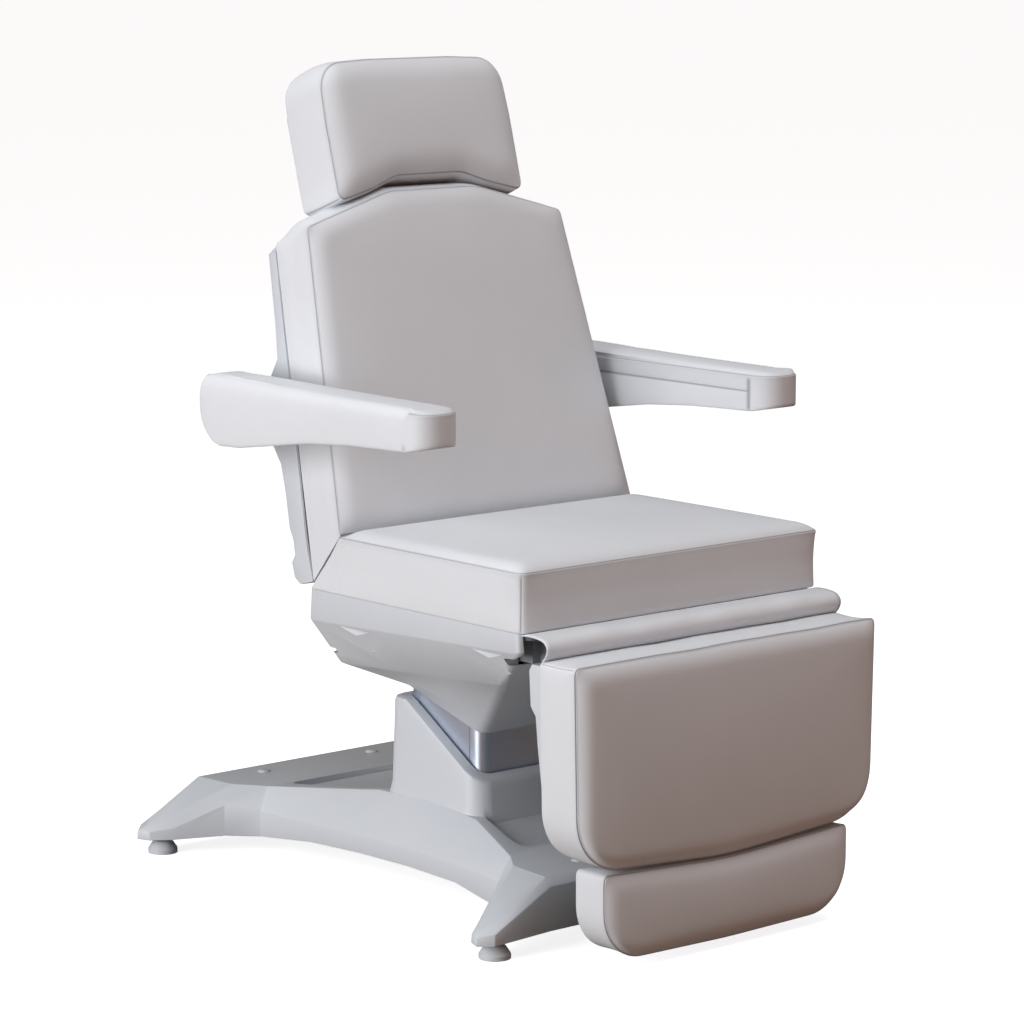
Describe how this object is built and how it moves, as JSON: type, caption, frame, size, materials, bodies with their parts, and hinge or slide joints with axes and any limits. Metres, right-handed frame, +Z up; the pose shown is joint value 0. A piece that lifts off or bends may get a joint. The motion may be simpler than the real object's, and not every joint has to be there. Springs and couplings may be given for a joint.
{
  "type": "patient recliner chair",
  "caption": "Electric treatment chair: padded seat, hinged back with headrest and swing-up armrests, hinged legrest with sliding foot pad, on a telescopic lifting column and moulded base",
  "frame": {"origin": "On the floor under the axis of the lifting column, at the middle of the chair's width and depth", "axes": "+Z up, -Y the way the seated patient faces, +X the patient's left"},
  "size_m": [0.7696, 1.051, 1.2796],
  "materials": {
    "upholstery": "pale grey coated upholstery fabric with a fine leather grain, satin",
    "moulding": "off-white moulded plastic, low sheen",
    "steel": "dark grey powder-coated steel",
    "profile": "satin anodised extruded profile",
    "plywood": "bare plywood",
    "polymer": "black engineering plastic"
  },
  "bodies": {
    "base": {"base_cover": "moulding", "base_frame": "steel", "levelling_foot_front_left": "moulding", "levelling_foot_front_right": "moulding", "levelling_foot_rear_left": "moulding", "levelling_foot_rear_right": "moulding", "base_screw_cap_front_left": "moulding", "base_screw_cap_front_right": "moulding", "base_screw_cap_rear_left": "moulding", "base_screw_cap_rear_right": "moulding", "column_inner": "profile", "column_glide_lower": "polymer", "lift_motor": "polymer", "lift_screw": "steel"},
    "column_middle": {"column_middle": "profile", "column_glide_upper": "polymer", "lift_sleeve": "steel"},
    "seat": {"column_outer": "profile", "lift_tube": "steel", "column_plate": "steel", "seat_under_cover": "moulding", "seat_frame": "steel", "back_hinge_shaft": "steel", "legrest_hinge_shaft": "steel", "seat_board": "plywood", "seat_pad": "upholstery", "back_actuator_body": "polymer", "legrest_actuator_body": "polymer", "control_box": "polymer", "legrest_flap": "upholstery"},
    "back_actuator_rod": {"back_actuator_rod": "steel"},
    "legrest_actuator_rod": {"legrest_actuator_rod": "steel"},
    "backrest": {"back_pad": "upholstery", "back_board": "plywood", "back_shell": "moulding", "back_frame": "steel", "armrest_bush_left": "polymer", "armrest_bush_right": "polymer", "headrest_socket": "polymer"},
    "headrest_slider": {"headrest_bar": "steel", "headrest_pin": "steel"},
    "headrest": {"headrest_pad": "upholstery", "headrest_board": "plywood", "headrest_bracket": "steel", "headrest_shell": "moulding"},
    "armrest_left": {"armrest_pad_left": "upholstery", "armrest_hub_left": "steel"},
    "armrest_right": {"armrest_pad_right": "upholstery", "armrest_hub_right": "steel"},
    "legrest": {"legrest_pad": "upholstery", "legrest_board": "plywood", "legrest_shell": "moulding", "legrest_frame": "steel"},
    "foot_extension": {"foot_pad": "upholstery", "foot_board": "plywood", "foot_rods": "steel"}
  },
  "joints": [
    {"name": "column_lift", "type": "slide", "parent": "base", "child": "seat", "axis": [0, 0, 1], "range_m": [0, 0.3]},
    {"name": "column_middle_lift", "type": "slide", "parent": "base", "child": "column_middle", "axis": [0, 0, 1], "range_m": [0, 0.15]},
    {"name": "back_recline", "type": "hinge", "parent": "seat", "child": "backrest", "pos_m": [0, 0.118, 0.464], "axis": [-1, 0, 0], "range_deg": [0, 70]},
    {"name": "back_rod_slide", "type": "slide", "parent": "seat", "child": "back_actuator_rod", "axis": [0, -1, 0], "range_m": [0, 0.069]},
    {"name": "legrest_lift", "type": "hinge", "parent": "seat", "child": "legrest", "pos_m": [0, -0.398, 0.4625], "axis": [-1, 0, 0], "range_deg": [0, 85], "deforming": ["legrest_flap"]},
    {"name": "legrest_rod_slide", "type": "slide", "parent": "seat", "child": "legrest_actuator_rod", "axis": [0, -1, 0], "range_m": [0, 0.068]},
    {"name": "foot_slide", "type": "slide", "parent": "legrest", "child": "foot_extension", "axis": [0, 0, -1], "range_m": [0, 0.15]},
    {"name": "headrest_slide", "type": "slide", "parent": "backrest", "child": "headrest_slider", "axis": [0, 0.2701, 0.9628], "range_m": [0, 0.08]},
    {"name": "headrest_tilt", "type": "hinge", "parent": "headrest_slider", "child": "headrest", "pos_m": [0, 0.28255, 1.06392], "axis": [-1, 0, 0], "range_deg": [-4, 30]},
    {"name": "armrest_left_swing", "type": "hinge", "parent": "backrest", "child": "armrest_left", "pos_m": [0.303, 0.20714, 0.75438], "axis": [-1, 0, 0], "range_deg": [-70, 90]},
    {"name": "armrest_right_swing", "type": "hinge", "parent": "backrest", "child": "armrest_right", "pos_m": [-0.303, 0.20714, 0.75438], "axis": [-1, 0, 0], "range_deg": [-70, 90]}
  ],
  "couplings": [
    {"joint": "column_middle_lift", "follows": "column_lift", "ratio": 0.5},
    {"joint": "back_rod_slide", "follows": "back_recline", "m_per_rad": 0.0563},
    {"joint": "legrest_rod_slide", "follows": "legrest_lift", "m_per_rad": 0.0455}
  ]
}
